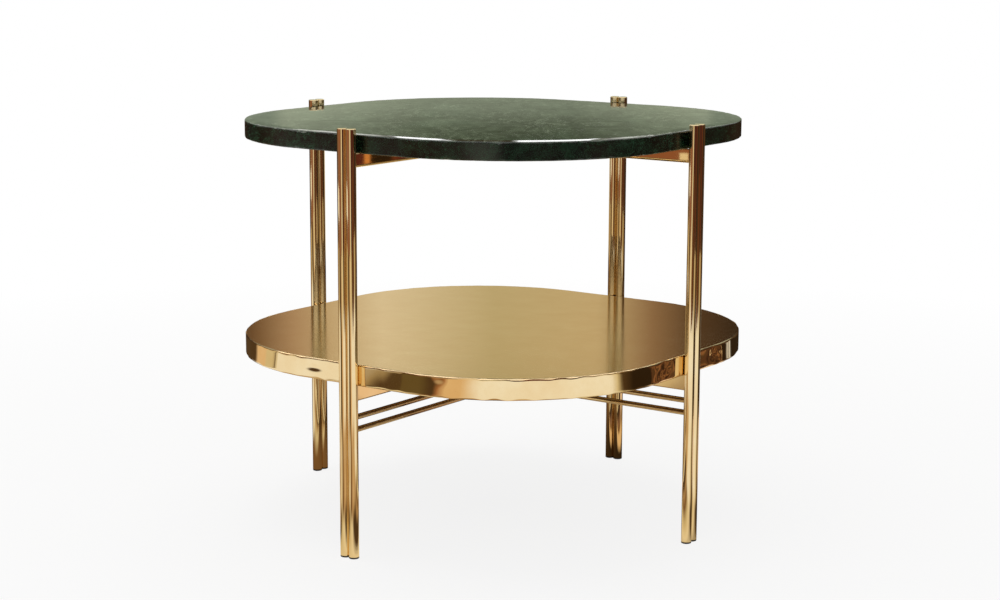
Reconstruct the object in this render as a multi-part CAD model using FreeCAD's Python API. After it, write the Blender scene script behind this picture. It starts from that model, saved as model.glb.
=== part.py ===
"""Tiered side table: a loose marble top and a brass-clad shelf held between four legs of paired rods.

Millimetres, +Z up, origin on the floor under the middle of the table.
Both plates are rounded squares with their sides along X and Y, and a leg stands at the middle of each side.
"""
import FreeCAD, Part
import math
import os

from FreeCAD import Rotation, Vector

# Shelf: a board clad in brass sheet, with a brass band round its rim
shelf_across = 506.0
shelf_top_height = 206.0
shelf_thickness = 22.5
side_straight = 126.0
sheet_thickness = 1.0
rim_thickness = 1.5
rim_round = 1.3
glue_line = 0.1

# Marble top: follows the shelf's outline a little further in
top_inset = 3.0
top_thickness = 20.0
top_edge_round = 1.5

# Legs: two solid rods side by side, standing against the shelf's rim
table_height = 450.0
leg_proud = 6.0
rod_diameter = 11.0
rod_chamfer = 0.8
braze_line = 0.15

# Glides pressed into the rods' lower ends
glide_thickness = 2.0
glide_round = 0.9
glide_pin_diameter = 4.0
glide_pin_length = 9.0
glide_pin_clearance = 0.1
glide_hole_spare = 1.0

# Cross bars under both plates, lapped where they cross
bar_width = 10.0
top_bar_height = 14.0
shelf_bar_height = 17.0
top_bar_round = 3.0
shelf_bar_round = 1.5
lap_share = 0.5
nose_share = 0.6

# Clear bumpers between the top's bars and the marble
bumper_diameter = 8.0
bumper_thickness = 0.8
bumper_place_shares = (0.32, 0.86)

# Stretcher rods below the shelf, stacked so that they pass each other
stretcher_diameter = 6.0
stretcher_drop = 8.5
stretcher_pass_gap = 0.65

# Screws that hold the shelf down on its bars
screw_diameter = 3.5
screw_clearance = 0.25
screw_head_diameter = 6.5
screw_head_height = 2.4
screw_head_clearance = 0.3
screw_socket_across = 2.5
screw_socket_depth = 1.4
screw_bite_share = 0.6
screw_place_shares = (0.3, 0.76)

# Cuts run past their faces by this much, and level edges are found within the tolerance
overrun = 1.0
level_tolerance = 0.001

# Worked out from the sizes above
rod_radius = rod_diameter / 2
rod_pitch = rod_diameter + braze_line
leg_axis = shelf_across / 2 + braze_line + rod_radius
bar_half_length = leg_axis - rod_radius * nose_share
top_across = shelf_across - 2 * top_inset
top_height = table_height - leg_proud
top_bottom = top_height - top_thickness
top_bar_bottom = top_bottom - bumper_thickness - top_bar_height
shelf_bottom = shelf_top_height - shelf_thickness
shelf_bar_bottom = shelf_bottom - shelf_bar_height
core_bottom = shelf_bottom + sheet_thickness
core_thickness = shelf_thickness - 2 * sheet_thickness
clad_across = shelf_across - 2 * (rim_thickness + glue_line)
stretcher_step = stretcher_diameter + stretcher_pass_gap
first_stretcher_height = shelf_bar_bottom - stretcher_drop - stretcher_diameter / 2
screw_seat_height = shelf_bar_bottom + screw_head_height + screw_head_clearance
screw_tip_height = core_bottom + core_thickness * screw_bite_share

UP = Vector(0, 0, 1)
ALONG_X = Vector(1, 0, 0)
SIDE_ANGLES = {"right": 0, "back": 90, "left": 180, "front": 270}
BAR_ANGLES = {"left_right": 0, "front_back": 90}


def turned(shape, angle):
    """A copy of the shape, turned about the table's middle."""
    copy = shape.copy()
    copy.rotate(Vector(0, 0, 0), UP, angle)
    return copy


def upright(diameter, bottom, top, x=0, y=0):
    """A round bar standing on its end."""
    return Part.makeCylinder(diameter / 2, top - bottom, Vector(x, y, bottom))


def level_edges(shape, height):
    """The edges of a shape that lie flat at one height."""
    found = []
    for edge in shape.Edges:
        box = edge.BoundBox
        if max(abs(box.ZMin - height), abs(box.ZMax - height)) < level_tolerance:
            found.append(edge)
    return found


def plate(across, bottom, thickness):
    """A rounded square: straight stretches at the middles of its sides, joined by quarter circles."""
    half = across / 2
    flat = side_straight / 2
    corner_radius = half - flat
    bulge = flat + corner_radius * math.cos(math.radians(45))
    edges = []
    for angle in SIDE_ANGLES.values():
        spin = Rotation(UP, angle)
        start = spin.multVec(Vector(half, -flat, bottom))
        end = spin.multVec(Vector(half, flat, bottom))
        middle = spin.multVec(Vector(bulge, bulge, bottom))
        following = spin.multVec(Vector(flat, half, bottom))
        edges.append(Part.LineSegment(start, end).toShape())
        edges.append(Part.Arc(end, middle, following).toShape())
    return Part.Face(Part.Wire(edges)).extrude(UP * thickness)


def leg_places(side):
    """The axes of one side's two rods."""
    spin = Rotation(UP, SIDE_ANGLES[side])
    return [spin.multVec(Vector(leg_axis, across, 0)) for across in (-rod_pitch / 2, rod_pitch / 2)]


def rod_clearances(bottom, height):
    """The space that the left and right legs' rods take from a bar along X, with room for the braze."""
    spaces = []
    for side in ("left", "right"):
        for place in leg_places(side):
            diameter = rod_diameter + 2 * braze_line
            spaces.append(upright(diameter, bottom - overrun, bottom + height + overrun, place.x, place.y))
    return spaces


def marble_top():
    """The loose slab, with both edges eased."""
    slab = plate(top_across, top_bottom, top_thickness)
    rims = level_edges(slab, top_bottom) + level_edges(slab, top_height)
    return slab.makeFillet(top_edge_round, rims)


def bumpers():
    """Small clear discs on the top's bars, which carry the slab."""
    discs = []
    for share in bumper_place_shares:
        disc = upright(bumper_diameter, top_bottom - bumper_thickness, top_bottom, leg_axis * share)
        discs += [turned(disc, angle) for angle in SIDE_ANGLES.values()]
    return Part.makeCompound(discs)


def bar(bottom, height, edge_round, lap_bottom, lap_top):
    """A flat bar along X with rounded lower edges, coped to the rods and notched where it is crossed."""
    half = bar_width / 2
    start = Vector(-bar_half_length, -half, bottom)
    solid = Part.makeBox(2 * bar_half_length, bar_width, height, start)
    lower_edges = [edge for edge in level_edges(solid, bottom) if edge.BoundBox.XLength > bar_width]
    solid = solid.makeFillet(edge_round, lower_edges)
    notch_width = bar_width + 2 * braze_line
    corner = Vector(-notch_width / 2, -half - overrun, lap_bottom)
    notch = Part.makeBox(notch_width, bar_width + 2 * overrun, lap_top - lap_bottom, corner)
    return solid.cut(rod_clearances(bottom, height) + [notch])


def bar_pair(bottom, height, edge_round):
    """The two bars of one cross: the first is notched from above, the second from below."""
    lap_height = bottom + height * lap_share
    lower = bar(bottom, height, edge_round, lap_height, bottom + height + overrun)
    upper = bar(bottom, height, edge_round, bottom - overrun, lap_height)
    return {"left_right": lower, "front_back": turned(upper, BAR_ANGLES["front_back"])}


def screw_places():
    """The screws' axes: the same distances out along each arm of the cross."""
    places = []
    for angle in SIDE_ANGLES.values():
        for share in screw_place_shares:
            places.append(Rotation(UP, angle).multVec(Vector(leg_axis * share, 0, 0)))
    return places


def screw_holes(diameter, bottom, top):
    """Round holes on all of the screws' axes."""
    return [upright(diameter, bottom, top, place.x, place.y) for place in screw_places()]


def shelf_bars():
    """The shelf's cross, bored from below for its screws and their heads."""
    hole = screw_diameter + 2 * screw_clearance
    sink = screw_head_diameter + 2 * screw_clearance
    bores = screw_holes(hole, shelf_bar_bottom - overrun, shelf_bottom + overrun)
    bores += screw_holes(sink, shelf_bar_bottom - overrun, screw_seat_height)
    pair = bar_pair(shelf_bar_bottom, shelf_bar_height, shelf_bar_round)
    return {name: solid.cut(bores) for name, solid in pair.items()}


def screws():
    """Socket-headed screws, up through the bars and into the shelf's board."""
    head_bottom = screw_seat_height - screw_head_height
    socket_radius = screw_socket_across / 2 / math.cos(math.radians(30))
    solids = []
    for place in screw_places():
        shank = upright(screw_diameter, screw_seat_height, screw_tip_height, place.x, place.y)
        head = upright(screw_head_diameter, head_bottom, screw_seat_height, place.x, place.y)
        centre = Vector(place.x, place.y, head_bottom)
        rim = [centre + Rotation(UP, 60 * turn).multVec(ALONG_X * socket_radius) for turn in range(7)]
        socket = Part.Face(Part.makePolygon(rim)).extrude(UP * screw_socket_depth)
        solids.append(head.fuse(shank).cut(socket).removeSplitter())
    return Part.makeCompound(solids)


def shelf_pieces():
    """The board, its brass cover, its base sheet and the band that wraps all three."""
    pilot = screw_diameter + 2 * screw_clearance
    core = plate(clad_across, core_bottom, core_thickness)
    core = core.cut(screw_holes(pilot, core_bottom - overrun, screw_tip_height + screw_clearance))
    base = plate(clad_across, shelf_bottom, sheet_thickness)
    base = base.cut(screw_holes(pilot, shelf_bottom - overrun, core_bottom + overrun))
    cover = plate(clad_across, shelf_top_height - sheet_thickness, sheet_thickness)
    band = plate(shelf_across, shelf_bottom, shelf_thickness)
    rims = level_edges(band, shelf_bottom) + level_edges(band, shelf_top_height)
    band = band.makeFillet(rim_round, rims)
    hollow = plate(shelf_across - 2 * rim_thickness, shelf_bottom - overrun, shelf_thickness + 2 * overrun)
    band = band.cut(hollow)
    return {"shelf_core": core, "shelf_base_sheet": base, "shelf_top_sheet": cover, "shelf_rim_band": band}


def stretcher(height):
    """A thin rod along X, coped into the groove between the rods of each leg."""
    start = Vector(-bar_half_length, 0, height)
    rod = Part.makeCylinder(stretcher_diameter / 2, 2 * bar_half_length, start, ALONG_X)
    return rod.cut(rod_clearances(height - stretcher_diameter / 2, stretcher_diameter))


def stretchers():
    """Four stretchers, taking turns along X and Y from the top down."""
    made = {}
    for index in range(4):
        way = list(BAR_ANGLES)[index % 2]
        level = ("upper", "lower")[index // 2]
        rod = stretcher(first_stretcher_height - stretcher_step * index)
        made[f"stretcher_{way}_{level}"] = turned(rod, BAR_ANGLES[way])
    return made


def leg_rod(place):
    """A solid rod with a chamfered upper end and a hole in its foot for the glide's pin."""
    rod = upright(rod_diameter, glide_thickness, table_height, place.x, place.y)
    rod = rod.makeChamfer(rod_chamfer, level_edges(rod, table_height))
    hole_diameter = glide_pin_diameter + 2 * glide_pin_clearance
    hole_top = glide_thickness + glide_pin_length + glide_hole_spare
    return rod.cut(upright(hole_diameter, glide_thickness - overrun, hole_top, place.x, place.y))


def glide(place):
    """A round plastic foot with a softened lower edge and a pin up into the rod."""
    pad = upright(rod_diameter, 0, glide_thickness, place.x, place.y)
    pad = pad.makeFillet(glide_round, level_edges(pad, 0))
    pin_top = glide_thickness + glide_pin_length
    return pad.fuse(upright(glide_pin_diameter, glide_thickness, pin_top, place.x, place.y))


nodes = {"marble_top": marble_top(), "top_bumpers": bumpers(), "shelf_screws": screws()}
nodes.update(shelf_pieces())
top_bars = bar_pair(top_bar_bottom, top_bar_height, top_bar_round)
nodes.update({f"top_bar_{way}": solid for way, solid in top_bars.items()})
nodes.update({f"shelf_bar_{way}": solid for way, solid in shelf_bars().items()})
nodes.update(stretchers())
for side in SIDE_ANGLES:
    for number, place in enumerate(leg_places(side), start=1):
        nodes[f"leg_{side}_rod_{number}"] = leg_rod(place)
        nodes[f"glide_{side}_{number}"] = glide(place)

os.makedirs("parts", exist_ok=True)
for name, shape in nodes.items():
    shape.exportStep(f"parts/{name}.step")
    print(name, len(shape.Solids), "solids, valid", shape.isValid(), f"{shape.Volume:.0f} mm3")
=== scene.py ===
"""Looks of the tiered side table: polished green marble over a brass-clad shelf, on paired brass rods."""

import math

import bpy
from mathutils import Matrix, Vector, noise


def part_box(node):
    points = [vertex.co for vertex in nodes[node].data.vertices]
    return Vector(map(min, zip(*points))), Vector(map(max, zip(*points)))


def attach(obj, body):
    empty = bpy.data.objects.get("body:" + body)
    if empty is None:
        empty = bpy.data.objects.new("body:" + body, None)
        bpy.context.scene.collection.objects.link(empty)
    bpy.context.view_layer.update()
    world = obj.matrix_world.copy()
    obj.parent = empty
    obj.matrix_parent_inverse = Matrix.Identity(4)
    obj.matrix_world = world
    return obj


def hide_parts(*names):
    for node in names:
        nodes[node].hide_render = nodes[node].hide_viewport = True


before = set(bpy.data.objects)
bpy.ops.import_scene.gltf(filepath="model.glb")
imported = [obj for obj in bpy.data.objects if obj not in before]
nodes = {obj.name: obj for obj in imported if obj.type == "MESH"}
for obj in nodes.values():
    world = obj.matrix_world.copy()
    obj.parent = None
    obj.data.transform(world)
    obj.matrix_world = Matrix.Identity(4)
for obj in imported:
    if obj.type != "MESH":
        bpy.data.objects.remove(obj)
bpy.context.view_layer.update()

MM = 0.001

# Outline that both plates share: straight stretches at the middles of the sides, quarter circles between
SIDE_STRAIGHT = 126 * MM

# Marble slab: its arris was eased by hand, so its radius wanders, slowly and quickly, and small chips have
# left it, deepest where they meet a nick
ARRIS_RADIUS = 1.3 * MM
ARRIS_LEAST = 0.3
ARRIS_WANDER = 0.45
SLOW_WANDER = 0.7
SLOW_WANDER_LENGTH = 30 * MM
QUICK_WANDER_LENGTH = 6 * MM
CHIP_DEPTH = 1.4 * MM
CHIP_SPACING = 11 * MM
CHIP_THRESHOLD = 0.15
CHIP_PATTERN = Vector((7, 3, 1))
NICK_LENGTH = 4 * MM
NICK_DEEPENS = 4
SLAB_STEP = 1.6 * MM

# Buffing has carried the polish over the slab's edge, so its face falls a little over the last few
# millimetres, by an amount that varies along the edge
FALL_WIDTH = 14 * MM
FALL_DEPTH = 0.8 * MM
FALL_STEPS = 7
SLOW_FALL = 0.2
SLOW_FALL_LENGTH = 45 * MM
QUICK_FALL = 0.12
QUICK_FALL_LENGTH = 11 * MM

# Beside each arris the slab's rim starts with a narrow row of faces, which keeps the shading of the rim flat
RIM_START = 0.5 * MM

# The stone's bedding runs across the slab: its turn in degrees, how much longer its marks are that way, and
# how far slow swirls carry them off it
BEDDING_TURN = 35
BEDDING_STRETCH = 4
SWIRL_REACH = 60 * MM

# Shelf band: a strip bent round the board, with the shallow waves that bending and buffing leave. The waves
# stand up the band, so height counts for less in them. Its edges were rolled over by hand, so their round
# comes and goes along the band.
BAND_THICKNESS = 1.5 * MM
BAND_ROUND_IN = 1.3 * MM
BAND_ROUND_UP = 2.0 * MM
BAND_ROLL_USUAL = 0.8
BAND_ROLL_WANDER = 1.1
BAND_ROLL_LEAST = 0.12
BAND_ROLL_MOST = 1.5
BAND_ROLL_LENGTH = 14 * MM
BAND_STEP = 1.6 * MM
BAND_ROWS = 10
WAVE_DEPTH = 0.45 * MM
WAVE_LENGTH = 48 * MM
WAVE_UPRIGHT = 0.3
RIPPLE_DEPTH = 0.18 * MM
RIPPLE_LENGTH = 20 * MM

# Dents that dressing the band down has left: place, reach along and up, and depth, in millimetres
DENTS = (
    ((-51, -253, 196), (12, 3.5), 0.32),
    ((108, -247.5, 204), (9, 6), 0.4),
    ((253, -44, 198), (8, 8), 0.5),
    ((253, -55, 190), (6, 6), 0.4),
    ((253, 54, 196), (7, 7), 0.5),
    ((253, 66, 190), (6, 6), 0.4))

# Rows of faces round a rounded edge
ARC_STEPS = 5

# Brass: tints from the darkest cloud of the lacquer to the palest, and the way that the lines run. A number
# near 0 draws the lines out that way.
ROD_TINTS = ("#eacf9e", "#edd5a6", "#f0dbb0")
BAR_TINTS = ("#e3c68f", "#e6ca96", "#e9d0a0")
SHEET_TINTS = ("#e8ce9c", "#ead1a1", "#ecd5a7")
# The base sheet's tints are dark brown as painted shade for the unlit underside of the shelf
UNDERSIDE_SHADE_TINTS = ("#4d3c28", "#5a4730", "#68543a")
ALL_WAYS = (1, 1, 1)
GRAINS = {"upright": (1, 1, 0.004), "left_right": (0.004, 1, 1), "front_back": (1, 0.004, 1)}

# Camera: where the photograph was taken from, in metres and degrees
CAMERA_AZIMUTH = 35.449
CAMERA_DISTANCE = 2.309
CAMERA_HEIGHT = 0.648
CAMERA_TURN = 35.283
CAMERA_PITCH = 10.096
CAMERA_ROLL = 0.252
CAMERA_LENS = 74.84
SENSOR_WIDTH = 36

TOWARD_CAMERA = Vector((math.sin(math.radians(CAMERA_AZIMUTH)), -math.cos(math.radians(CAMERA_AZIMUTH)), 0))
CAMERA_RIGHT = Vector((-TOWARD_CAMERA.y, TOWARD_CAMERA.x, 0))

# Paper floor: its half width and how far it lies under the glides, in metres. Within the reach of the shadow,
# this share of its light is the lamps'.
PAPER_HALF = 40
PAPER_DROP = 0.0002
SHADOW_SHARE = 0.14
SHADOW_REACH = 1.6

# Even light from all round on everything that is not a mirror
FILL_LEVEL = 0.22

# Surroundings that show only in the table's mirror surfaces, in metres: floor, wall and ceiling in rings
# round the table, from a small middle, because a ring can't close to a point. The steps are in degrees.
RING_STEP = 3
RING_MIDDLE = 0.001
FLOOR_LEVEL = 0.001
BOARD_LEVEL = 0.0015
SHADE_RADIUS = 0.46
NEAR_RADIUS = 0.95
BOARD_START = 0.7
BOARD_END = 1.45
ROOM_RADIUS = 2.3
WALL_BREAK = 0.62
ROOM_HEIGHT = 2.4

# Narrow strips stand a little inside the wall
GLINT_RADIUS = 2.28
WINDOW_RADIUS = 2.25
LAMP_RADIUS = 2.2

# Half widths of the cards behind the table
SHELF_CARD_HALF = 0.6
MARBLE_CARD_HALF = 0.85
WINDOW_CARD_HALF = 0.8

# Tones of the surroundings
WHITE = "#ffffff"
ROSE = "#fff0ee"
BLUSH = "#ffe8d6"
PALE = "#f6ecd6"
APRICOT = "#e9caa2"
EMBER = "#e09a5c"
SAND = "#ddd0ae"
HONEY = "#d0b08a"
TAN = "#b89a74"
GREY = "#b4b4ae"
CLOUD = "#a9aca3"
KHAKI = "#a89573"
COPPER = "#a8764f"
CLAY = "#98644a"
TAUPE = "#8f6e5a"
BROWN = "#80603f"
RUST = "#74402a"
OLIVE = "#6a5a38"
WALNUT = "#5f3f2c"
MAROON = "#5e302a"
UMBER = "#54402a"
SHADE = "#382a26"
DARK = "#302417"


def colour(hex_value):
    """An sRGB hex colour as linear RGBA."""
    channels = [int(hex_value[start:start + 2], 16) / 255 for start in (1, 3, 5)]
    return [v / 12.92 if v <= 0.04045 else ((v + 0.055) / 1.055) ** 2.4 for v in channels] + [1]


def repeats(size_mm):
    """A texture's scale, in repeats a metre, for features of this size."""
    return 1000 / size_mm


def add_node(tree, kind, inputs=(), stops=(), **settings):
    """Adds a node with its settings, colour stops, and inputs that are values or links."""
    made = tree.nodes.new(kind)
    for name, value in settings.items():
        setattr(made, name, value)
    for index, (place, hex_value) in enumerate(stops):
        known = made.color_ramp.elements
        stop = known[index] if index < len(known) else known.new(place)
        stop.position = place
        stop.color = colour(hex_value)
    for name, value in dict(inputs).items():
        if isinstance(name, int):
            socket = made.inputs[name]
        else:
            socket = next(s for s in made.inputs if s.enabled and s.name == name)
        if isinstance(value, bpy.types.NodeSocket):
            tree.links.new(value, socket)
        else:
            socket.default_value = value
    return made


def new_material(name):
    """An empty material, with its tree and the place of each point on the piece in metres."""
    made = bpy.data.materials.new(name)
    made.use_nodes = True
    made.node_tree.nodes.clear()
    place = add_node(made.node_tree, "ShaderNodeTexCoord").outputs["Object"]
    return made, made.node_tree, place


def finish_material(tree, shader):
    """Links a shader to the material's output."""
    add_node(tree, "ShaderNodeOutputMaterial", {"Surface": shader.outputs[0]})


def polished_serpentine():
    """Serpentine marble, sawn and polished.

    The eye gets deep green with pale clouds drawn out along the bedding, fine threads of calcite, dark seams
    and a wet gloss. The rim was sawn across the beds and only honed, so it is duller, and its colour is
    multiplied darker and greener as painted shade.
    """
    made, tree, place = new_material("polished_serpentine_marble")

    # Slow swirls, and the bedding that draws the marks out
    drift = add_node(tree, "ShaderNodeTexNoise", {
        "Vector": place, "Scale": repeats(180), "Detail": 3, "Roughness": 0.55})
    swirl = add_node(tree, "ShaderNodeVectorMath", {
        0: drift.outputs["Color"], 1: (0.5, 0.5, 0.5)}, operation="SUBTRACT")
    swirled = add_node(tree, "ShaderNodeVectorMath", {
        0: swirl.outputs[0], 1: (SWIRL_REACH, SWIRL_REACH, SWIRL_REACH), 2: place}, operation="MULTIPLY_ADD")
    bedded = add_node(tree, "ShaderNodeMapping", {
        "Vector": swirled.outputs[0], "Rotation": (0, 0, math.radians(BEDDING_TURN)),
        "Scale": (1, BEDDING_STRETCH, 1)}, vector_type="TEXTURE")

    # Clouds from near black to pale green, mottled
    clouds = add_node(tree, "ShaderNodeTexNoise", {
        "Vector": bedded.outputs[0], "Scale": repeats(60), "Detail": 9, "Roughness": 0.62})
    cloud_tint = add_node(tree, "ShaderNodeValToRGB", {"Fac": clouds.outputs["Fac"]}, stops=(
        (0.34, "#060b08"), (0.46, "#101b15"), (0.56, "#26362b"), (0.66, "#5a6c58")))
    mottle = add_node(tree, "ShaderNodeTexNoise", {
        "Vector": bedded.outputs[0], "Scale": repeats(16), "Detail": 7, "Roughness": 0.72})
    mottle_share = add_node(tree, "ShaderNodeMapRange", {
        "Value": mottle.outputs["Fac"], "From Min": 0.44, "From Max": 0.66, "To Max": 0.7})
    mottled = add_node(tree, "ShaderNodeMix", {
        "Factor": mottle_share.outputs[0], "A": cloud_tint.outputs["Color"], "B": colour("#6d7c64")},
        data_type="RGBA")

    # Threads of calcite that come and go
    course = add_node(tree, "ShaderNodeTexNoise", {
        "Vector": swirled.outputs[0], "Scale": repeats(150), "Detail": 6, "Roughness": 0.55})
    off_course = add_node(tree, "ShaderNodeMath", {0: course.outputs["Fac"], 1: 0.5}, operation="SUBTRACT")
    thread = add_node(tree, "ShaderNodeMath", {0: off_course.outputs[0]}, operation="ABSOLUTE")
    thread_mask = add_node(tree, "ShaderNodeMapRange", {
        "Value": thread.outputs[0], "From Min": 0.0, "From Max": 0.016, "To Min": 0.3, "To Max": 0.0})
    fade = add_node(tree, "ShaderNodeTexNoise", {"Vector": place, "Scale": repeats(60), "Detail": 2})
    thread_fade = add_node(tree, "ShaderNodeMapRange", {
        "Value": fade.outputs["Fac"], "From Min": 0.48, "From Max": 0.66})
    thread_share = add_node(tree, "ShaderNodeMath", {
        0: thread_mask.outputs[0], 1: thread_fade.outputs[0]}, operation="MULTIPLY")
    threaded = add_node(tree, "ShaderNodeMix", {
        "Factor": thread_share.outputs[0], "A": mottled.outputs["Result"], "B": colour("#7d8a72")},
        data_type="RGBA")

    # Pale flecks, gathered in patches
    fleck = add_node(tree, "ShaderNodeTexNoise", {
        "Vector": bedded.outputs[0], "Scale": repeats(6), "Detail": 8, "Roughness": 0.75})
    fleck_mask = add_node(tree, "ShaderNodeMapRange", {
        "Value": fleck.outputs["Fac"], "From Min": 0.5, "From Max": 0.66, "To Max": 0.8})
    patch = add_node(tree, "ShaderNodeTexNoise", {"Vector": place, "Scale": repeats(75), "Detail": 3})
    patch_mask = add_node(tree, "ShaderNodeMapRange", {
        "Value": patch.outputs["Fac"], "From Min": 0.38, "From Max": 0.58})
    fleck_share = add_node(tree, "ShaderNodeMath", {
        0: fleck_mask.outputs[0], 1: patch_mask.outputs[0]}, operation="MULTIPLY")
    flecked = add_node(tree, "ShaderNodeMix", {
        "Factor": fleck_share.outputs[0], "A": threaded.outputs["Result"], "B": colour("#a3b096")},
        data_type="RGBA")

    # Dark seams
    seam = add_node(tree, "ShaderNodeTexNoise", {
        "Vector": swirled.outputs[0], "Scale": repeats(240), "Detail": 2, "Roughness": 0.5})
    off_seam = add_node(tree, "ShaderNodeMath", {0: seam.outputs["Fac"], 1: 0.54}, operation="SUBTRACT")
    seam_line = add_node(tree, "ShaderNodeMath", {0: off_seam.outputs[0]}, operation="ABSOLUTE")
    seam_mask = add_node(tree, "ShaderNodeMapRange", {
        "Value": seam_line.outputs[0], "From Min": 0.0, "From Max": 0.03, "To Min": 1.0, "To Max": 0.0},
        interpolation_type="SMOOTHSTEP")
    seam_share = add_node(tree, "ShaderNodeMath", {0: seam_mask.outputs[0], 1: 0.6}, operation="MULTIPLY")
    seamed = add_node(tree, "ShaderNodeMix", {
        "Factor": seam_share.outputs[0], "A": flecked.outputs["Result"], "B": colour("#0c120e")},
        data_type="RGBA")

    # The rim, which faces sideways, takes painted shade: its colour is multiplied darker and greener
    normal = add_node(tree, "ShaderNodeNewGeometry").outputs["Normal"]
    facing = add_node(tree, "ShaderNodeSeparateXYZ", {0: normal})
    upward = add_node(tree, "ShaderNodeMath", {0: facing.outputs["Z"]}, operation="ABSOLUTE")
    rim_shade_and_hone = add_node(tree, "ShaderNodeMapRange", {
        "Value": upward.outputs[0], "From Min": 0.2, "From Max": 0.8, "To Min": 1.0, "To Max": 0.0})
    stone = add_node(tree, "ShaderNodeMix", {
        "Factor": rim_shade_and_hone.outputs[0], "A": seamed.outputs["Result"], "B": colour("#62a08c")},
        data_type="RGBA", blend_type="MULTIPLY")

    # Gloss, uneven where soft and hard grains took the polish differently
    polish = add_node(tree, "ShaderNodeTexNoise", {
        "Vector": bedded.outputs[0], "Scale": repeats(20), "Detail": 8, "Roughness": 0.72})
    gloss = add_node(tree, "ShaderNodeMapRange", {
        "Value": polish.outputs["Fac"], "From Min": 0.36, "From Max": 0.66, "To Min": 0.03, "To Max": 0.11})
    honed = add_node(tree, "ShaderNodeMath", {
        0: rim_shade_and_hone.outputs[0], 1: 0.16, 2: gloss.outputs[0]}, operation="MULTIPLY_ADD")

    # Hollows of a few hundredths of a millimetre from buffing and lapping, and seams that sank
    buffed = add_node(tree, "ShaderNodeTexNoise", {
        "Vector": swirled.outputs[0], "Scale": repeats(24), "Detail": 1, "Roughness": 0.4})
    uneven = add_node(tree, "ShaderNodeBump", {
        "Strength": 1.0, "Distance": 0.03 * MM, "Height": buffed.outputs["Fac"]})
    lapped = add_node(tree, "ShaderNodeTexNoise", {
        "Vector": swirled.outputs[0], "Scale": repeats(9), "Detail": 1, "Roughness": 0.4})
    rubbed = add_node(tree, "ShaderNodeBump", {
        "Strength": 1.0, "Distance": 0.01 * MM, "Height": lapped.outputs["Fac"], "Normal": uneven.outputs[0]})
    sunk = add_node(tree, "ShaderNodeBump", {
        "Strength": 1.0, "Distance": 0.03 * MM, "Height": seam_mask.outputs[0], "Normal": rubbed.outputs[0]},
        invert=True)
    shader = add_node(tree, "ShaderNodeBsdfPrincipled", {
        "Base Color": stone.outputs["Result"], "Roughness": honed.outputs[0], "IOR": 1.52,
        "Normal": sunk.outputs[0]})
    finish_material(tree, shader)
    return made


def lacquered_brass(name, grain, grain_mm, gloss, tints, wave_mm, wave_depth_mm):
    """Brass that was drawn or rolled, buffed and lacquered.

    The eye gets a warm mirror with fine lines along the way it was drawn, soft waves where the buff pressed,
    and a slight clouding of the lacquer. Real lines are hundredths of a millimetre apart. They are drawn
    about a millimetre apart, because they wouldn't show otherwise.
    """
    made, tree, place = new_material(name)
    stretched = add_node(tree, "ShaderNodeVectorMath", {0: place, 1: grain}, operation="MULTIPLY")
    lines = add_node(tree, "ShaderNodeTexNoise", {
        "Vector": stretched.outputs[0], "Scale": repeats(grain_mm), "Detail": 4, "Roughness": 0.6})
    clouding = add_node(tree, "ShaderNodeTexNoise", {
        "Vector": place, "Scale": repeats(35), "Detail": 5, "Roughness": 0.6})
    tint = add_node(tree, "ShaderNodeValToRGB", {"Fac": clouding.outputs["Fac"]}, stops=(
        (0.32, tints[0]), (0.5, tints[1]), (0.68, tints[2])))
    lined = add_node(tree, "ShaderNodeMapRange", {
        "Value": lines.outputs["Fac"], "From Min": 0.3, "From Max": 0.7, "To Min": 0.0, "To Max": 0.5})
    haze = add_node(tree, "ShaderNodeMath", {
        0: clouding.outputs["Fac"], 1: 0.5, 2: lined.outputs[0]}, operation="MULTIPLY_ADD")
    roughness = add_node(tree, "ShaderNodeMapRange", {
        "Value": haze.outputs[0], "From Min": 0.2, "From Max": 0.8, "To Min": gloss[0], "To Max": gloss[1]})
    waves = add_node(tree, "ShaderNodeTexNoise", {
        "Vector": place, "Scale": repeats(wave_mm), "Detail": 1, "Roughness": 0.4})
    wavy = add_node(tree, "ShaderNodeBump", {
        "Strength": 1.0, "Distance": wave_depth_mm * MM, "Height": waves.outputs["Fac"]})
    scored = add_node(tree, "ShaderNodeBump", {
        "Strength": 0.1, "Distance": 0.004 * MM, "Height": lines.outputs["Fac"], "Normal": wavy.outputs[0]})
    shader = add_node(tree, "ShaderNodeBsdfPrincipled", {
        "Base Color": tint.outputs["Color"], "Metallic": 1.0, "Roughness": roughness.outputs[0],
        "Normal": scored.outputs[0]})
    finish_material(tree, shader)
    return made


def moulded_nylon():
    """Nylon glides, injection moulded: near black, with the dull grain of the mould.

    The real grain is a tenth of a millimetre. It is drawn at 0.8 mm, because it wouldn't show otherwise.
    """
    made, tree, place = new_material("moulded_dark_nylon")
    grain = add_node(tree, "ShaderNodeTexNoise", {
        "Vector": place, "Scale": repeats(0.8), "Detail": 3, "Roughness": 0.6})
    tint = add_node(tree, "ShaderNodeValToRGB", {"Fac": grain.outputs["Fac"]}, stops=(
        (0.3, "#1d1712"), (0.7, "#34291f")))
    dull = add_node(tree, "ShaderNodeMapRange", {
        "Value": grain.outputs["Fac"], "To Min": 0.38, "To Max": 0.6})
    texture = add_node(tree, "ShaderNodeBump", {
        "Strength": 0.3, "Distance": 0.05 * MM, "Height": grain.outputs["Fac"]})
    shader = add_node(tree, "ShaderNodeBsdfPrincipled", {
        "Base Color": tint.outputs["Color"], "Roughness": dull.outputs[0], "IOR": 1.53,
        "Normal": texture.outputs[0]})
    finish_material(tree, shader)
    return made


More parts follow.
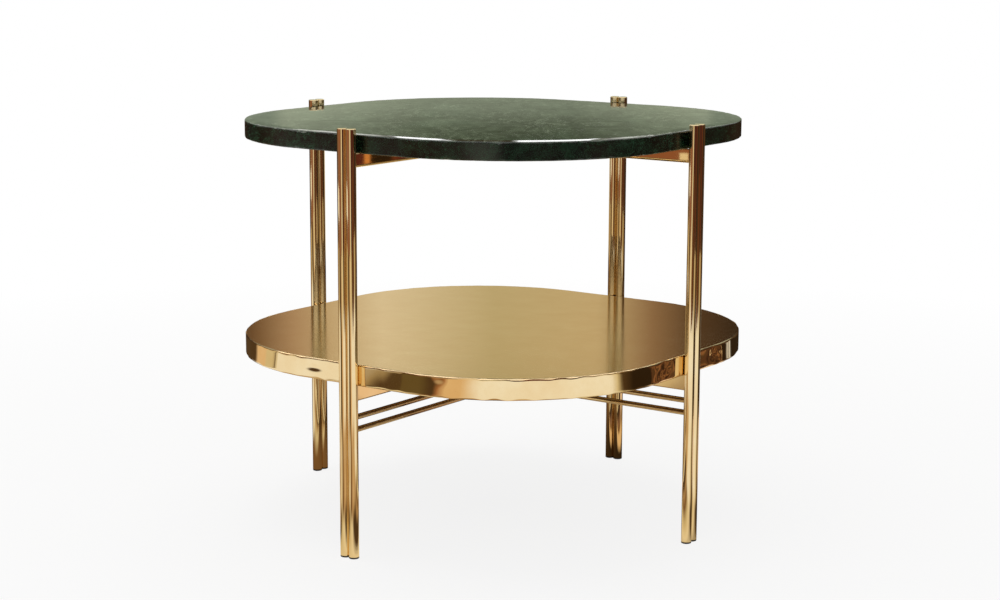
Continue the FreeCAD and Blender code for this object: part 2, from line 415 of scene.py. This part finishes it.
def cast_silicone():
    """Silicone bumpers, cast clear: milky discs with a soft skin."""
    made, tree, place = new_material("cast_clear_silicone")
    skin = add_node(tree, "ShaderNodeTexNoise", {"Vector": place, "Scale": repeats(1.5), "Detail": 3})
    tint = add_node(tree, "ShaderNodeValToRGB", {"Fac": skin.outputs["Fac"]}, stops=(
        (0.3, "#dfe3e0"), (0.7, "#f1f3f0")))
    soft = add_node(tree, "ShaderNodeMapRange", {
        "Value": skin.outputs["Fac"], "To Min": 0.25, "To Max": 0.45})
    shader = add_node(tree, "ShaderNodeBsdfPrincipled", {
        "Base Color": tint.outputs["Color"], "Roughness": soft.outputs[0], "IOR": 1.41,
        "Transmission Weight": 0.8})
    finish_material(tree, shader)
    return made


def pressed_fibreboard():
    """Medium-density fibreboard, pressed and sawn: brown felted fibres with a dusty face.

    Real fibres are finer than the 1.2 mm that they are drawn at, because they wouldn't show otherwise.
    """
    made, tree, place = new_material("pressed_fibreboard")
    felt = add_node(tree, "ShaderNodeTexNoise", {
        "Vector": place, "Scale": repeats(1.2), "Detail": 6, "Roughness": 0.7})
    tint = add_node(tree, "ShaderNodeValToRGB", {"Fac": felt.outputs["Fac"]}, stops=(
        (0.3, "#7a5c3e"), (0.5, "#94734f"), (0.7, "#ae8d66")))
    fuzz = add_node(tree, "ShaderNodeBump", {
        "Strength": 0.4, "Distance": 0.1 * MM, "Height": felt.outputs["Fac"]})
    dusty = add_node(tree, "ShaderNodeMapRange", {
        "Value": felt.outputs["Fac"], "To Min": 0.75, "To Max": 0.95})
    shader = add_node(tree, "ShaderNodeBsdfPrincipled", {
        "Base Color": tint.outputs["Color"], "Roughness": dusty.outputs[0], "Normal": fuzz.outputs[0]})
    finish_material(tree, shader)
    return made


def plated_steel():
    """Steel screws, cold headed and zinc plated: pale grey metal with a faint crystalline bloom.

    Real crystals are finer than the 0.9 mm that they are drawn at, because they wouldn't show otherwise.
    """
    made, tree, place = new_material("zinc_plated_steel")
    bloom = add_node(tree, "ShaderNodeTexVoronoi", {"Vector": place, "Scale": repeats(0.9)})
    tint = add_node(tree, "ShaderNodeValToRGB", {"Fac": bloom.outputs["Distance"]}, stops=(
        (0.0, "#b9bcbf"), (0.8, "#a3a7ab")))
    dull = add_node(tree, "ShaderNodeMapRange", {
        "Value": bloom.outputs["Distance"], "To Min": 0.28, "To Max": 0.42})
    shader = add_node(tree, "ShaderNodeBsdfPrincipled", {
        "Base Color": tint.outputs["Color"], "Metallic": 1.0, "Roughness": dull.outputs[0]})
    finish_material(tree, shader)
    return made


def plate_outline(across, step):
    """Points round a plate with their outward directions, evenly spaced."""
    half = across / 2
    flat = SIDE_STRAIGHT / 2
    radius = half - flat
    quarter = SIDE_STRAIGHT + radius * math.pi / 2
    count = round(quarter / step)
    points = []
    for side in range(4):
        spin = Matrix.Rotation(side * math.pi / 2, 3, "Z")
        for index in range(count):
            gone = quarter * index / count
            turn = max(0, gone - SIDE_STRAIGHT) / radius
            outward = Vector((math.cos(turn), math.sin(turn), 0))
            start = Vector((half - radius, min(gone, SIDE_STRAIGHT) - flat, 0))
            points.append((spin @ (start + outward * radius), spin @ outward))
    return points


def piece_from_rings(name, rings, closed_ends, material):
    """A smooth mesh from rings of points: quads between them, and flat ends or a closed loop."""
    count = len(rings[0])
    points = [point for ring in rings for point in ring]
    faces = []
    last = len(rings) - 1 if closed_ends else len(rings)
    for row in range(last):
        below = row * count
        above = (row + 1) % len(rings) * count
        for index in range(count):
            following = (index + 1) % count
            faces.append((below + index, below + following, above + following, above + index))
    if closed_ends:
        faces.append(tuple(reversed(range(count))))
        faces.append(tuple(range(len(points) - count, len(points))))
    mesh = bpy.data.meshes.new(name)
    mesh.from_pydata(points, [], faces)
    mesh.polygons.foreach_set("use_smooth", [True] * len(faces))
    mesh.materials.append(material)
    piece = bpy.data.objects.new(name, mesh)
    bpy.context.scene.collection.objects.link(piece)
    return piece


def arris_radius(place):
    """How far the slab's edge is eased at one place: a wandering radius, deeper where a chip has gone."""
    wander = SLOW_WANDER * noise.noise(place / SLOW_WANDER_LENGTH) + noise.noise(place / QUICK_WANDER_LENGTH)
    chip = max(0, noise.noise(place / CHIP_SPACING + CHIP_PATTERN) - CHIP_THRESHOLD)
    nick = max(0, noise.noise(place / NICK_LENGTH))
    eased = ARRIS_RADIUS * max(ARRIS_LEAST, 1 + ARRIS_WANDER * wander)
    return eased + CHIP_DEPTH * chip * (1 + NICK_DEEPENS * nick)


def edge_fall(place):
    """How far the slab's polished face falls towards its edge at one place."""
    slow = SLOW_FALL * noise.noise(place / SLOW_FALL_LENGTH)
    quick = QUICK_FALL * noise.noise(place / QUICK_FALL_LENGTH)
    return FALL_DEPTH * (1 + slow + quick)


def marble_slab(material):
    """The marble top, with its hand-eased edges. Only its upper face was buffed over the edge."""
    low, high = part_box("marble_top")
    outline = plate_outline(high.x - low.x, SLAB_STEP)
    halves = []
    for level, inside, buffed in ((low.z, 1, 0), (high.z, -1, 1)):
        rings = []
        for step in range(FALL_STEPS):
            share = step / FALL_STEPS
            inward = FALL_WIDTH - (FALL_WIDTH - 2 * ARRIS_RADIUS) * share
            ring = []
            for place, out in outline:
                height = level + inside * buffed * edge_fall(place) * share ** 2
                ring.append(place - out * inward + Vector((0, 0, height)))
            rings.append(ring)
        for step in range(ARC_STEPS + 1):
            turn = math.pi / 2 * step / ARC_STEPS
            ring = []
            for place, out in outline:
                radius = arris_radius(place + Vector((0, 0, level)))
                inward = radius * (1 - math.sin(turn))
                height = level + inside * (buffed * edge_fall(place) + radius * (1 - math.cos(turn)))
                ring.append(place - out * inward + Vector((0, 0, height)))
            rings.append(ring)
        rings.append([point + Vector((0, 0, inside * RIM_START)) for point in rings[-1]])
        halves.append(rings)
    slab = piece_from_rings("marble_slab", halves[0] + halves[1][::-1], True, material)
    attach(slab, "root")
    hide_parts("marble_top")


def band_wave(place):
    """How far the band's face stands in at one place, as a negative length."""
    waves = noise.noise(Vector((place.x, place.y, place.z * WAVE_UPRIGHT)) / WAVE_LENGTH)
    ripples = noise.noise(place / RIPPLE_LENGTH)
    dented = 0
    for middle, (along, up), depth in DENTS:
        away = (place - Vector(middle) * MM) / MM
        dented += depth * MM * math.exp(-(away.xy.length / along) ** 2 - (away.z / up) ** 2)
    return WAVE_DEPTH * (waves - 1) / 2 + RIPPLE_DEPTH * (ripples - 1) / 2 - dented


def shelf_band(material):
    """The band round the shelf, with its edges rolled over and its face in shallow waves."""
    low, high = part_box("shelf_rim_band")
    outline = plate_outline(high.x - low.x, BAND_STEP)

    # The section, from its lower inner edge by the face to its upper inner edge: shares of the round in and
    # up, the height that they start from, and the way that the round goes from there
    section = [(1, 0, low.z, 1)]
    for step in range(ARC_STEPS + 1):
        turn = math.pi / 2 * step / ARC_STEPS
        section.append((1 - math.sin(turn), 1 - math.cos(turn), low.z, 1))
    rolled_most = BAND_ROUND_UP * BAND_ROLL_MOST
    for row in range(BAND_ROWS + 1):
        height = low.z + rolled_most + (high.z - low.z - 2 * rolled_most) * row / BAND_ROWS
        section.append((0, 0, height, 0))
    for step in range(ARC_STEPS + 1):
        turn = math.pi / 2 * (1 - step / ARC_STEPS)
        section.append((1 - math.sin(turn), 1 - math.cos(turn), high.z, -1))
    section.append((1, 0, high.z, -1))

    rings = []
    for index, (inward, rise, level, way) in enumerate(section):
        ring = []
        for place, out in outline:
            edge = place + Vector((0, 0, level))
            rolled = BAND_ROLL_USUAL + BAND_ROLL_WANDER * noise.noise(edge / BAND_ROLL_LENGTH)
            rolled = min(BAND_ROLL_MOST, max(BAND_ROLL_LEAST, rolled))
            depth = inward * BAND_ROUND_IN * min(1, rolled)
            if index in (0, len(section) - 1):
                depth = BAND_THICKNESS
            point = edge - out * depth + Vector((0, 0, way * rise * rolled * BAND_ROUND_UP))
            if depth < BAND_THICKNESS:
                point += out * band_wave(point)
            ring.append(point)
        rings.append(ring)
    band = piece_from_rings("shelf_band", rings, False, material)
    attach(band, "root")
    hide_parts("shelf_rim_band")


def studio(right, toward, up):
    """A place in the studio, measured from the middle of the table as the camera sees it."""
    return CAMERA_RIGHT * right + TOWARD_CAMERA * toward + Vector((0, 0, up))


def seen_directly(tree):
    """1 on rays from the camera, and on those that a mirror or clear piece sends on."""
    path = add_node(tree, "ShaderNodeLightPath")
    mirrored = add_node(tree, "ShaderNodeMath", {
        0: path.outputs["Is Camera Ray"], 1: path.outputs["Is Glossy Ray"]}, operation="MAXIMUM")
    through = add_node(tree, "ShaderNodeMath", {
        0: mirrored.outputs[0], 1: path.outputs["Is Transmission Ray"]}, operation="MAXIMUM")
    return through.outputs[0]


def paper_floor():
    """White background paper, pressed matt.

    It shows white, and near the table part of its light is the lamps', which gives the table its shadow. Real
    fibres are finer than the 2 mm that they are drawn at, because they wouldn't show otherwise.
    """
    made, tree, place = new_material("matt_white_paper")
    fibre = add_node(tree, "ShaderNodeTexNoise", {"Vector": place, "Scale": repeats(2), "Detail": 3})
    tint = add_node(tree, "ShaderNodeValToRGB", {"Fac": fibre.outputs["Fac"]}, stops=(
        (0.3, "#f3f3f2"), (0.7, "#f8f8f7")))
    matt = add_node(tree, "ShaderNodeBsdfDiffuse", {"Color": tint.outputs["Color"]})
    glow = add_node(tree, "ShaderNodeEmission", {"Color": colour(WHITE), "Strength": 1.0})
    away = add_node(tree, "ShaderNodeVectorMath", {0: place}, operation="LENGTH")
    glowing = add_node(tree, "ShaderNodeMapRange", {
        "Value": away.outputs["Value"], "From Max": SHADOW_REACH, "To Min": 1 - SHADOW_SHARE, "To Max": 1.0})
    share = add_node(tree, "ShaderNodeMath", {
        0: seen_directly(tree), 1: glowing.outputs[0]}, operation="MULTIPLY")
    shader = add_node(tree, "ShaderNodeMixShader", {
        0: share.outputs[0], 1: matt.outputs[0], 2: glow.outputs[0]})
    finish_material(tree, shader)
    mesh = bpy.data.meshes.new("paper_floor")
    corners = [(-1, -1, 0), (1, -1, 0), (1, 1, 0), (-1, 1, 0)]
    mesh.from_pydata([(x * PAPER_HALF, y * PAPER_HALF, z) for x, y, z in corners], [], [(0, 1, 2, 3)])
    mesh.materials.append(made)
    sheet = bpy.data.objects.new("paper_floor", mesh)
    bpy.context.scene.collection.objects.link(sheet)
    sheet.location = (0, 0, -PAPER_DROP)


def mirror_strip(name, lower, upper, low_tones, high_tones, change, strength=1.0, stir=0.0, soft=0.0):
    """A strip of the surroundings that only mirror surfaces see, between two rows of points.

    The tones run along the strip at its lower and upper side, and change is where one becomes the other, as
    shares of the way up. Stir moves the tones along in eddies, and soft is the share of the strip's length
    over which each end fades out.
    """
    made, tree, place = new_material(name)
    spot = add_node(tree, "ShaderNodeTexCoord").outputs["UV"]
    split = add_node(tree, "ShaderNodeSeparateXYZ", {0: spot})
    along = split.outputs["X"]
    if stir > 0:
        eddy = add_node(tree, "ShaderNodeTexNoise", {"Vector": place, "Scale": repeats(150), "Detail": 1})
        moved = add_node(tree, "ShaderNodeMapRange", {
            "Value": eddy.outputs["Fac"], "From Min": 0.3, "From Max": 0.7, "To Min": -stir, "To Max": stir})
        along = add_node(tree, "ShaderNodeMath", {0: along, 1: moved.outputs[0]}, operation="ADD").outputs[0]
    low = add_node(tree, "ShaderNodeValToRGB", {"Fac": along}, stops=low_tones)
    high = add_node(tree, "ShaderNodeValToRGB", {"Fac": along}, stops=high_tones)
    rise = add_node(tree, "ShaderNodeMapRange", {
        "Value": split.outputs["Y"], "From Min": change[0], "From Max": change[1]},
        interpolation_type="SMOOTHSTEP")
    tone = add_node(tree, "ShaderNodeMix", {
        "Factor": rise.outputs[0], "A": low.outputs["Color"], "B": high.outputs["Color"]}, data_type="RGBA")
    shader = add_node(tree, "ShaderNodeEmission", {"Color": tone.outputs["Result"], "Strength": strength})
    if soft > 0:
        from_end = add_node(tree, "ShaderNodeMath", {0: 1.0, 1: split.outputs["X"]}, operation="SUBTRACT")
        nearest = add_node(tree, "ShaderNodeMath", {
            0: split.outputs["X"], 1: from_end.outputs[0]}, operation="MINIMUM")
        cover = add_node(tree, "ShaderNodeMapRange", {
            "Value": nearest.outputs[0], "From Max": soft}, interpolation_type="SMOOTHSTEP")
        clear = add_node(tree, "ShaderNodeBsdfTransparent")
        shader = add_node(tree, "ShaderNodeMixShader", {
            0: cover.outputs[0], 1: clear.outputs[0], 2: shader.outputs[0]})
    finish_material(tree, shader)
    count = len(lower)
    mesh = bpy.data.meshes.new(name)
    faces = [(i, i + 1, count + i + 1, count + i) for i in range(count - 1)]
    mesh.from_pydata(lower + upper, [], faces)
    shares = mesh.uv_layers.new()
    for loop in mesh.loops:
        shares.uv[loop.index].vector = (loop.vertex_index % count / (count - 1), loop.vertex_index // count)
    mesh.materials.append(made)
    strip = bpy.data.objects.new(name, mesh)
    bpy.context.scene.collection.objects.link(strip)
    strip.visible_camera = False
    strip.visible_diffuse = False
    strip.visible_transmission = False
    strip.visible_shadow = False


def round_strip(name, lower, upper, low_tones, high_tones, change=(0.0, 1.0), span=(-180, 180), **looks):
    """A strip round the table, from the radius and height of its lower and upper edge.

    It runs between two azimuths, in degrees from behind the table by its left, the camera and its right.
    """
    start, end = span
    steps = max(1, round((end - start) / RING_STEP))
    turns = [math.radians(start + (end - start) * step / steps) for step in range(steps + 1)]
    rows = [[studio(radius * math.sin(turn), radius * math.cos(turn), up) for turn in turns]
            for radius, up in (lower, upper)]
    mirror_strip(name, rows[0], rows[1], low_tones, high_tones, change, **looks)


def upright_card(name, toward, sides, heights, low_tones, high_tones, change=(0.0, 1.0), **looks):
    """A flat card standing across the camera's view, between two sides and two heights."""
    rows = [[studio(side, toward, height) for side in sides] for height in heights]
    mirror_strip(name, rows[0], rows[1], low_tones, high_tones, change, **looks)


def one_tone(tone):
    """The same tone all along a strip."""
    return ((0.0, tone), (1.0, tone))


def round_room(*tones):
    """Tones along a strip all round the table, given with their azimuths."""
    return [(azimuth / 360 + 0.5, tone) for azimuth, tone in tones]


def across_card(half_width, *tones):
    """Tones along a card, given with their places to the right of the table's middle."""
    return [(right / (2 * half_width) + 0.5, tone) for right, tone in tones]


def softbox(name, middle, aim, across, along, watts):
    """A rectangular lamp with a white cloth in front of it."""
    lamp = bpy.data.lights.new(name, "AREA")
    lamp.shape = "RECTANGLE"
    lamp.size = across
    lamp.size_y = along
    lamp.energy = watts
    holder = bpy.data.objects.new(name, lamp)
    holder.location = middle
    holder.rotation_euler = (aim - middle).to_track_quat("-Z", "Y").to_euler()
    holder.visible_camera = False
    holder.visible_glossy = False
    bpy.context.scene.collection.objects.link(holder)


def white_surroundings():
    """White all round for the camera and in mirrors, and an even fill for everything else."""
    world = bpy.data.worlds.new("white_surroundings")
    bpy.context.scene.world = world
    world.use_nodes = True
    tree = world.node_tree
    tree.nodes.clear()
    fill = add_node(tree, "ShaderNodeBackground", {"Color": colour("#fbf8f3"), "Strength": FILL_LEVEL})
    white = add_node(tree, "ShaderNodeBackground", {"Color": colour(WHITE), "Strength": 1.0})
    shader = add_node(tree, "ShaderNodeMixShader", {
        0: seen_directly(tree), 1: fill.outputs[0], 2: white.outputs[0]})
    add_node(tree, "ShaderNodeOutputWorld", {"Surface": shader.outputs[0]})


def photograph_camera():
    """The camera where the photograph was taken from."""
    lens = bpy.data.cameras.new("photograph_camera")
    lens.lens = CAMERA_LENS
    lens.sensor_width = SENSOR_WIDTH
    camera = bpy.data.objects.new("photograph_camera", lens)
    turn = Matrix.Rotation(math.radians(CAMERA_TURN), 4, "Z")
    tilt = Matrix.Rotation(math.radians(90 - CAMERA_PITCH), 4, "X")
    roll = Matrix.Rotation(math.radians(CAMERA_ROLL), 4, "Z")
    camera.matrix_world = Matrix.Translation(studio(0, CAMERA_DISTANCE, CAMERA_HEIGHT)) @ turn @ tilt @ roll
    bpy.context.scene.collection.objects.link(camera)
    bpy.context.scene.camera = camera


# Finishes, and the pieces that take them
slab_finish = polished_serpentine()
band_finish = lacquered_brass(
    "buffed_brass_strip", ALL_WAYS, grain_mm=1.4, gloss=(0.02, 0.06), tints=ROD_TINTS,
    wave_mm=30, wave_depth_mm=0.01)
sheet_finish = lacquered_brass(
    "satin_rolled_brass_sheet", GRAINS["left_right"], grain_mm=0.9, gloss=(0.12, 0.15), tints=SHEET_TINTS,
    wave_mm=160, wave_depth_mm=0.05)
# The base sheet is dull, and its dark brown tints are painted shade under the shelf
base_shade_finish = lacquered_brass(
    "dull_brass_sheet_painted_shade", GRAINS["left_right"], grain_mm=0.9, gloss=(0.3, 0.42), tints=UNDERSIDE_SHADE_TINTS,
    wave_mm=160, wave_depth_mm=0.05)
rod_finish = {
    way: lacquered_brass(
        f"drawn_brass_rod_{way}", GRAINS[way], grain_mm=0.8, gloss=(0.03, 0.075), tints=ROD_TINTS,
        wave_mm=45, wave_depth_mm=0.03)
    for way in ("upright", "left_right", "front_back")}
bar_finish = {
    way: lacquered_brass(
        f"drawn_brass_bar_{way}", GRAINS[way], grain_mm=0.9, gloss=(0.012, 0.035), tints=BAR_TINTS,
        wave_mm=60, wave_depth_mm=0.02)
    for way in ("left_right", "front_back")}
glide_finish = moulded_nylon()
single_finishes = {
    "marble_top": slab_finish,
    "top_bumpers": cast_silicone(),
    "shelf_screws": plated_steel(),
    "shelf_core": pressed_fibreboard(),
    "shelf_base_sheet": base_shade_finish,
    "shelf_top_sheet": sheet_finish,
    "shelf_rim_band": band_finish}

for name, node in nodes.items():
    way = next((known for known in ("left_right", "front_back") if known in name), "upright")
    if name in single_finishes:
        finish = single_finishes[name]
    elif name.startswith("glide"):
        finish = glide_finish
    elif "_bar_" in name:
        finish = bar_finish[way]
    else:
        finish = rod_finish[way]
    node.data.materials[0] = finish

marble_slab(slab_finish)
shelf_band(band_finish)

photograph_camera()
white_surroundings()
paper_floor()
softbox("overhead_softbox", studio(-0.2, -0.3, 2.1), aim=studio(0, 0, 0.4), across=1.7, along=1.2, watts=20)
softbox("left_softbox", studio(-1.3, 0.6, 1.9), aim=studio(0, 0, 0.3), across=0.9, along=1.2, watts=1.6)

# Tones of the floor, from under the table outwards. The band, bars and rods mirror them.
UNDER_TABLE = round_room(
    (-180, UMBER), (-110, BROWN), (-85, SAND), (-67, TAN), (-56, UMBER), (-46, SAND), (-32, PALE),
    (-22, UMBER), (-6, UMBER), (6, TAN), (20, BROWN), (36, SAND), (48, PALE), (60, UMBER), (76, DARK),
    (98, TAUPE), (107, BROWN), (114, APRICOT), (126, APRICOT), (136, DARK), (180, UMBER))
NEAR_FLOOR = round_room(
    (-180, UMBER), (-128, UMBER), (-112, WHITE), (-92, WHITE), (-80, TAN), (-70, TAN), (-62, PALE),
    (-52, PALE), (-44, BROWN), (-34, BROWN), (-26, HONEY), (-19, TAN), (-12, APRICOT), (-4, TAN),
    (4, HONEY), (14, PALE), (22, WHITE), (48, WHITE), (60, SAND), (74, UMBER), (82, UMBER), (90, BLUSH),
    (110, BLUSH), (120, UMBER), (130, UMBER), (150, TAN), (180, UMBER))
MIDDLE_FLOOR = round_room(
    (-121.5, UMBER), (-118.5, APRICOT), (-108, APRICOT), (-106, SAND), (-98.7, SAND), (-97.2, UMBER),
    (-96, SAND), (-94.5, WHITE), (-67.2, WHITE), (-65.8, KHAKI), (-64.5, KHAKI), (-64, UMBER),
    (-62.8, UMBER), (-61.8, OLIVE), (-50, OLIVE), (-43, UMBER), (-40, UMBER), (-38, COPPER),
    (-34, APRICOT), (-25, APRICOT), (-15, WHITE), (60, WHITE), (65, SAND), (68, UMBER), (76, DARK),
    (119, DARK), (120.5, WHITE), (122, DARK), (124, WHITE), (126, DARK))
FAR_FLOOR = round_room(
    (-180, UMBER), (-124, UMBER), (-108, TAN), (-86, SAND), (-72, UMBER), (-56, UMBER), (-42, TAN),
    (-22, PALE), (-8, SAND), (4, UMBER), (26, BROWN), (42, UMBER), (56, SAND), (72, TAN), (92, DARK),
    (125, UMBER), (180, UMBER))
WALNUT_GRAIN = (
    (0.02, DARK), (0.08, WALNUT), (0.16, UMBER), (0.2, WALNUT), (0.24, COPPER), (0.27, WALNUT),
    (0.35, UMBER), (0.39, COPPER), (0.42, WALNUT), (0.52, DARK), (0.58, WALNUT), (0.61, COPPER),
    (0.64, UMBER), (0.72, WALNUT), (0.8, DARK), (0.84, WALNUT), (0.87, APRICOT), (0.89, WALNUT),
    (0.97, DARK))

# Tones of the wall, from below upwards. The rods and the upper bars mirror them.
LOW_WALL = round_room(
    (-180, SHADE), (-132, SHADE), (-112, UMBER), (-92, TAUPE), (-76, TAUPE), (-64, CLAY), (-52, CLAY),
    (-40, TAUPE), (-27, TAUPE), (-20, PALE), (-10, PALE), (-3, SHADE), (20, MAROON), (40, SHADE),
    (54, RUST), (68, SHADE), (130, UMBER), (180, SHADE))
MIDDLE_WALL = round_room(
    (-180, UMBER), (-120, UMBER), (-95, TAN), (-80, UMBER), (-40, DARK), (40, DARK), (75, UMBER),
    (100, UMBER), (180, UMBER))
EYE_LEVEL_WALL = round_room(
    (-180, UMBER), (-75, UMBER), (-38, WHITE), (38, WHITE), (75, UMBER), (180, UMBER))
HIGH_WALL = one_tone(CLOUD)
BEHIND_RIGHT_LEG = (
    (0.0, MAROON), (0.155, MAROON), (0.17, EMBER), (0.235, EMBER), (0.255, DARK), (0.52, DARK),
    (0.58, RUST), (0.64, MAROON), (1.0, MAROON))

# Tones of the cards behind the table, which the shelf's cover and the marble's faces mirror
SHELF_BACK = across_card(
    SHELF_CARD_HALF, (-0.35, "#452d1a"), (-0.32, "#785a3c"), (-0.27, "#b09270"), (-0.22, "#c9b38d"),
    (-0.15, "#e0d2b2"), (0.0, "#c2b48a"), (0.14, "#c8b48a"), (0.215, "#8e7050"), (0.275, "#513a24"),
    (0.33, "#342415"))
MARBLE_BACK_LOW = across_card(
    MARBLE_CARD_HALF, (-0.42, "#96a08a"), (-0.375, "#96a08a"), (-0.35, "#b9c1a5"), (-0.3, "#b5bda1"),
    (-0.12, "#98a088"), (0.12, "#8f9780"), (0.3, "#aeb69a"), (0.35, "#b4bca0"), (0.37, "#929c85"),
    (0.42, "#929c85"))
MARBLE_BACK_HIGH = across_card(
    MARBLE_CARD_HALF, (-0.42, "#8d9780"), (-0.375, "#8d9780"), (-0.35, "#a2aa90"), (-0.3, "#929a82"),
    (-0.12, "#5a624a"), (0.12, "#4a523c"), (0.3, "#7c846c"), (0.35, "#8f977e"), (0.37, "#88927b"),
    (0.42, "#88927b"))
BACK_WINDOW = across_card(
    WINDOW_CARD_HALF, (-0.24, GREY), (-0.196, DARK), (-0.186, WHITE), (-0.11, WHITE), (-0.095, DARK),
    (0.033, DARK), (0.043, WHITE), (0.185, WHITE), (0.195, DARK), (0.25, GREY))
FLAG = ((0.0, RUST), (1.0, UMBER))

# The floor
round_strip("shade_under_table", (RING_MIDDLE, FLOOR_LEVEL), (SHADE_RADIUS, FLOOR_LEVEL),
            UNDER_TABLE, NEAR_FLOOR, change=(0.8, 1.0))
round_strip("near_floor", (SHADE_RADIUS, FLOOR_LEVEL), (NEAR_RADIUS, FLOOR_LEVEL),
            NEAR_FLOOR, MIDDLE_FLOOR, change=(0.5, 0.9))
round_strip("far_floor", (NEAR_RADIUS, FLOOR_LEVEL), (ROOM_RADIUS, FLOOR_LEVEL),
            MIDDLE_FLOOR, FAR_FLOOR, change=(0.3, 0.6))
round_strip("walnut_boards", (BOARD_START, BOARD_LEVEL), (BOARD_END, BOARD_LEVEL),
            WALNUT_GRAIN, WALNUT_GRAIN, span=(92, 113), stir=0.14)

# The wall and the ceiling, with the narrow strips in front of the wall: radius and height of each edge in
# metres, and spans in degrees
round_strip("low_wall", (ROOM_RADIUS, 0.0), (ROOM_RADIUS, WALL_BREAK),
            LOW_WALL, MIDDLE_WALL, change=(0.45, 0.65))
round_strip("wall_behind_right_leg", (GLINT_RADIUS, 0.125), (GLINT_RADIUS, 0.175),
            BEHIND_RIGHT_LEG, BEHIND_RIGHT_LEG, span=(101, 105))
round_strip("left_wall_glint", (GLINT_RADIUS, 0.151), (GLINT_RADIUS, 0.167),
            one_tone(PALE), one_tone(PALE), span=(-60.5, -60.03))
round_strip("high_wall", (ROOM_RADIUS, WALL_BREAK), (ROOM_RADIUS, ROOM_HEIGHT),
            EYE_LEVEL_WALL, HIGH_WALL, change=(0.03, 0.08))
round_strip("room_ceiling", (RING_MIDDLE, ROOM_HEIGHT), (ROOM_RADIUS, ROOM_HEIGHT),
            one_tone(WHITE), one_tone(WHITE))
round_strip("left_window", (WINDOW_RADIUS, 0.07), (WINDOW_RADIUS, 0.135),
            one_tone(WHITE), one_tone(WHITE), span=(-102, -68))
round_strip("long_lamp", (LAMP_RADIUS, 1.25), (LAMP_RADIUS, 1.65),
            one_tone(ROSE), one_tone(ROSE), span=(-110, 110), strength=4)

# Cards in front of the table and behind it: how far towards the camera, then their sides and heights
upright_card("right_flag", 1.0, (0.15, 0.75), (0.07, 0.3), FLAG, FLAG)
upright_card("shelf_back_card", -0.45, (-SHELF_CARD_HALF, SHELF_CARD_HALF), (0.21, 0.41),
             SHELF_BACK, SHELF_BACK, soft=0.16)
upright_card("marble_back_card", -1.15, (-MARBLE_CARD_HALF, MARBLE_CARD_HALF), (0.42, 0.9),
             MARBLE_BACK_LOW, MARBLE_BACK_HIGH, change=(0.17, 0.38), soft=0.15)
upright_card("back_window", -1.1, (-WINDOW_CARD_HALF, WINDOW_CARD_HALF), (0.74, 1.1),
             BACK_WINDOW, BACK_WINDOW, strength=3, soft=0.2)

bpy.context.scene.view_settings.view_transform = "Standard"
